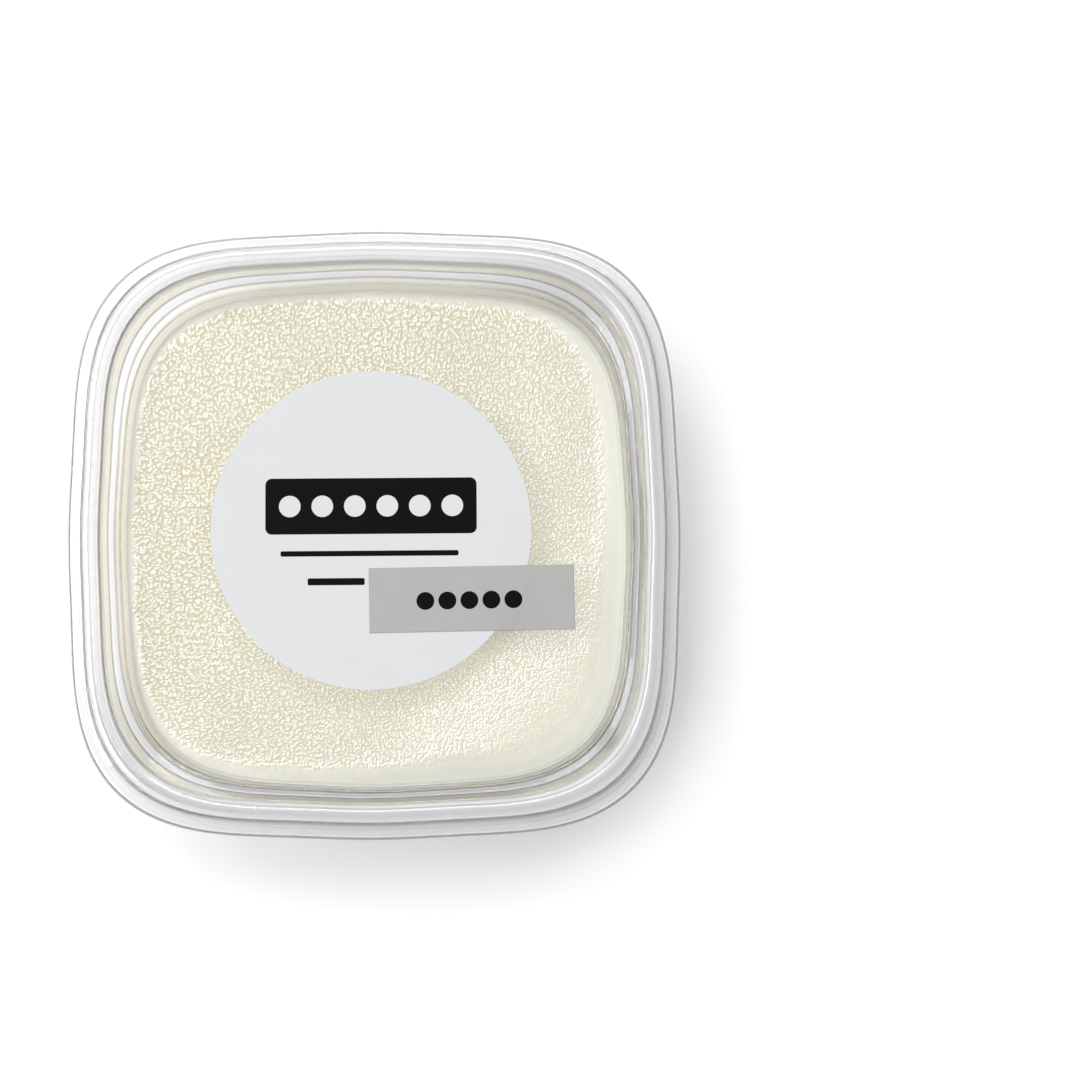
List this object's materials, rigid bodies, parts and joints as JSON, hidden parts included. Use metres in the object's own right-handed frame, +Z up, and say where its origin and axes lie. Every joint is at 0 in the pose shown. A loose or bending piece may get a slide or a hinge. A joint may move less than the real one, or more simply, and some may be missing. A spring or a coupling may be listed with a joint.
{
  "type": "lidded tub of milk pudding",
  "caption": "Square clear tub with rounded corners and a press-on lid, filled with set milk pudding, with a round paper label and a strip label on the lid.",
  "frame": {"origin": "centre of the tub's flat base, on the surface that the tub stands on", "axes": "+Z up through the lid, +X towards the side that the strip label reaches out to, +Y towards the far side of the lid as its labels are read"},
  "size_m": [0.113, 0.113, 0.0504],
  "materials": {
    "tub_plastic": "clear, glossy, thermoformed",
    "lid_plastic": "clear, glossy, thermoformed",
    "set_pudding": "cream milk pudding with a finely pebbled, softly shining skin",
    "white_paper": "smooth white label paper with black printed shapes",
    "grey_paper": "grey label paper with a black printed bar"
  },
  "bodies": {
    "root": {"tub": "tub_plastic", "lid": "lid_plastic", "pudding": "set_pudding", "round_label": "white_paper", "strip_label": "grey_paper"}
  },
  "joints": []
}
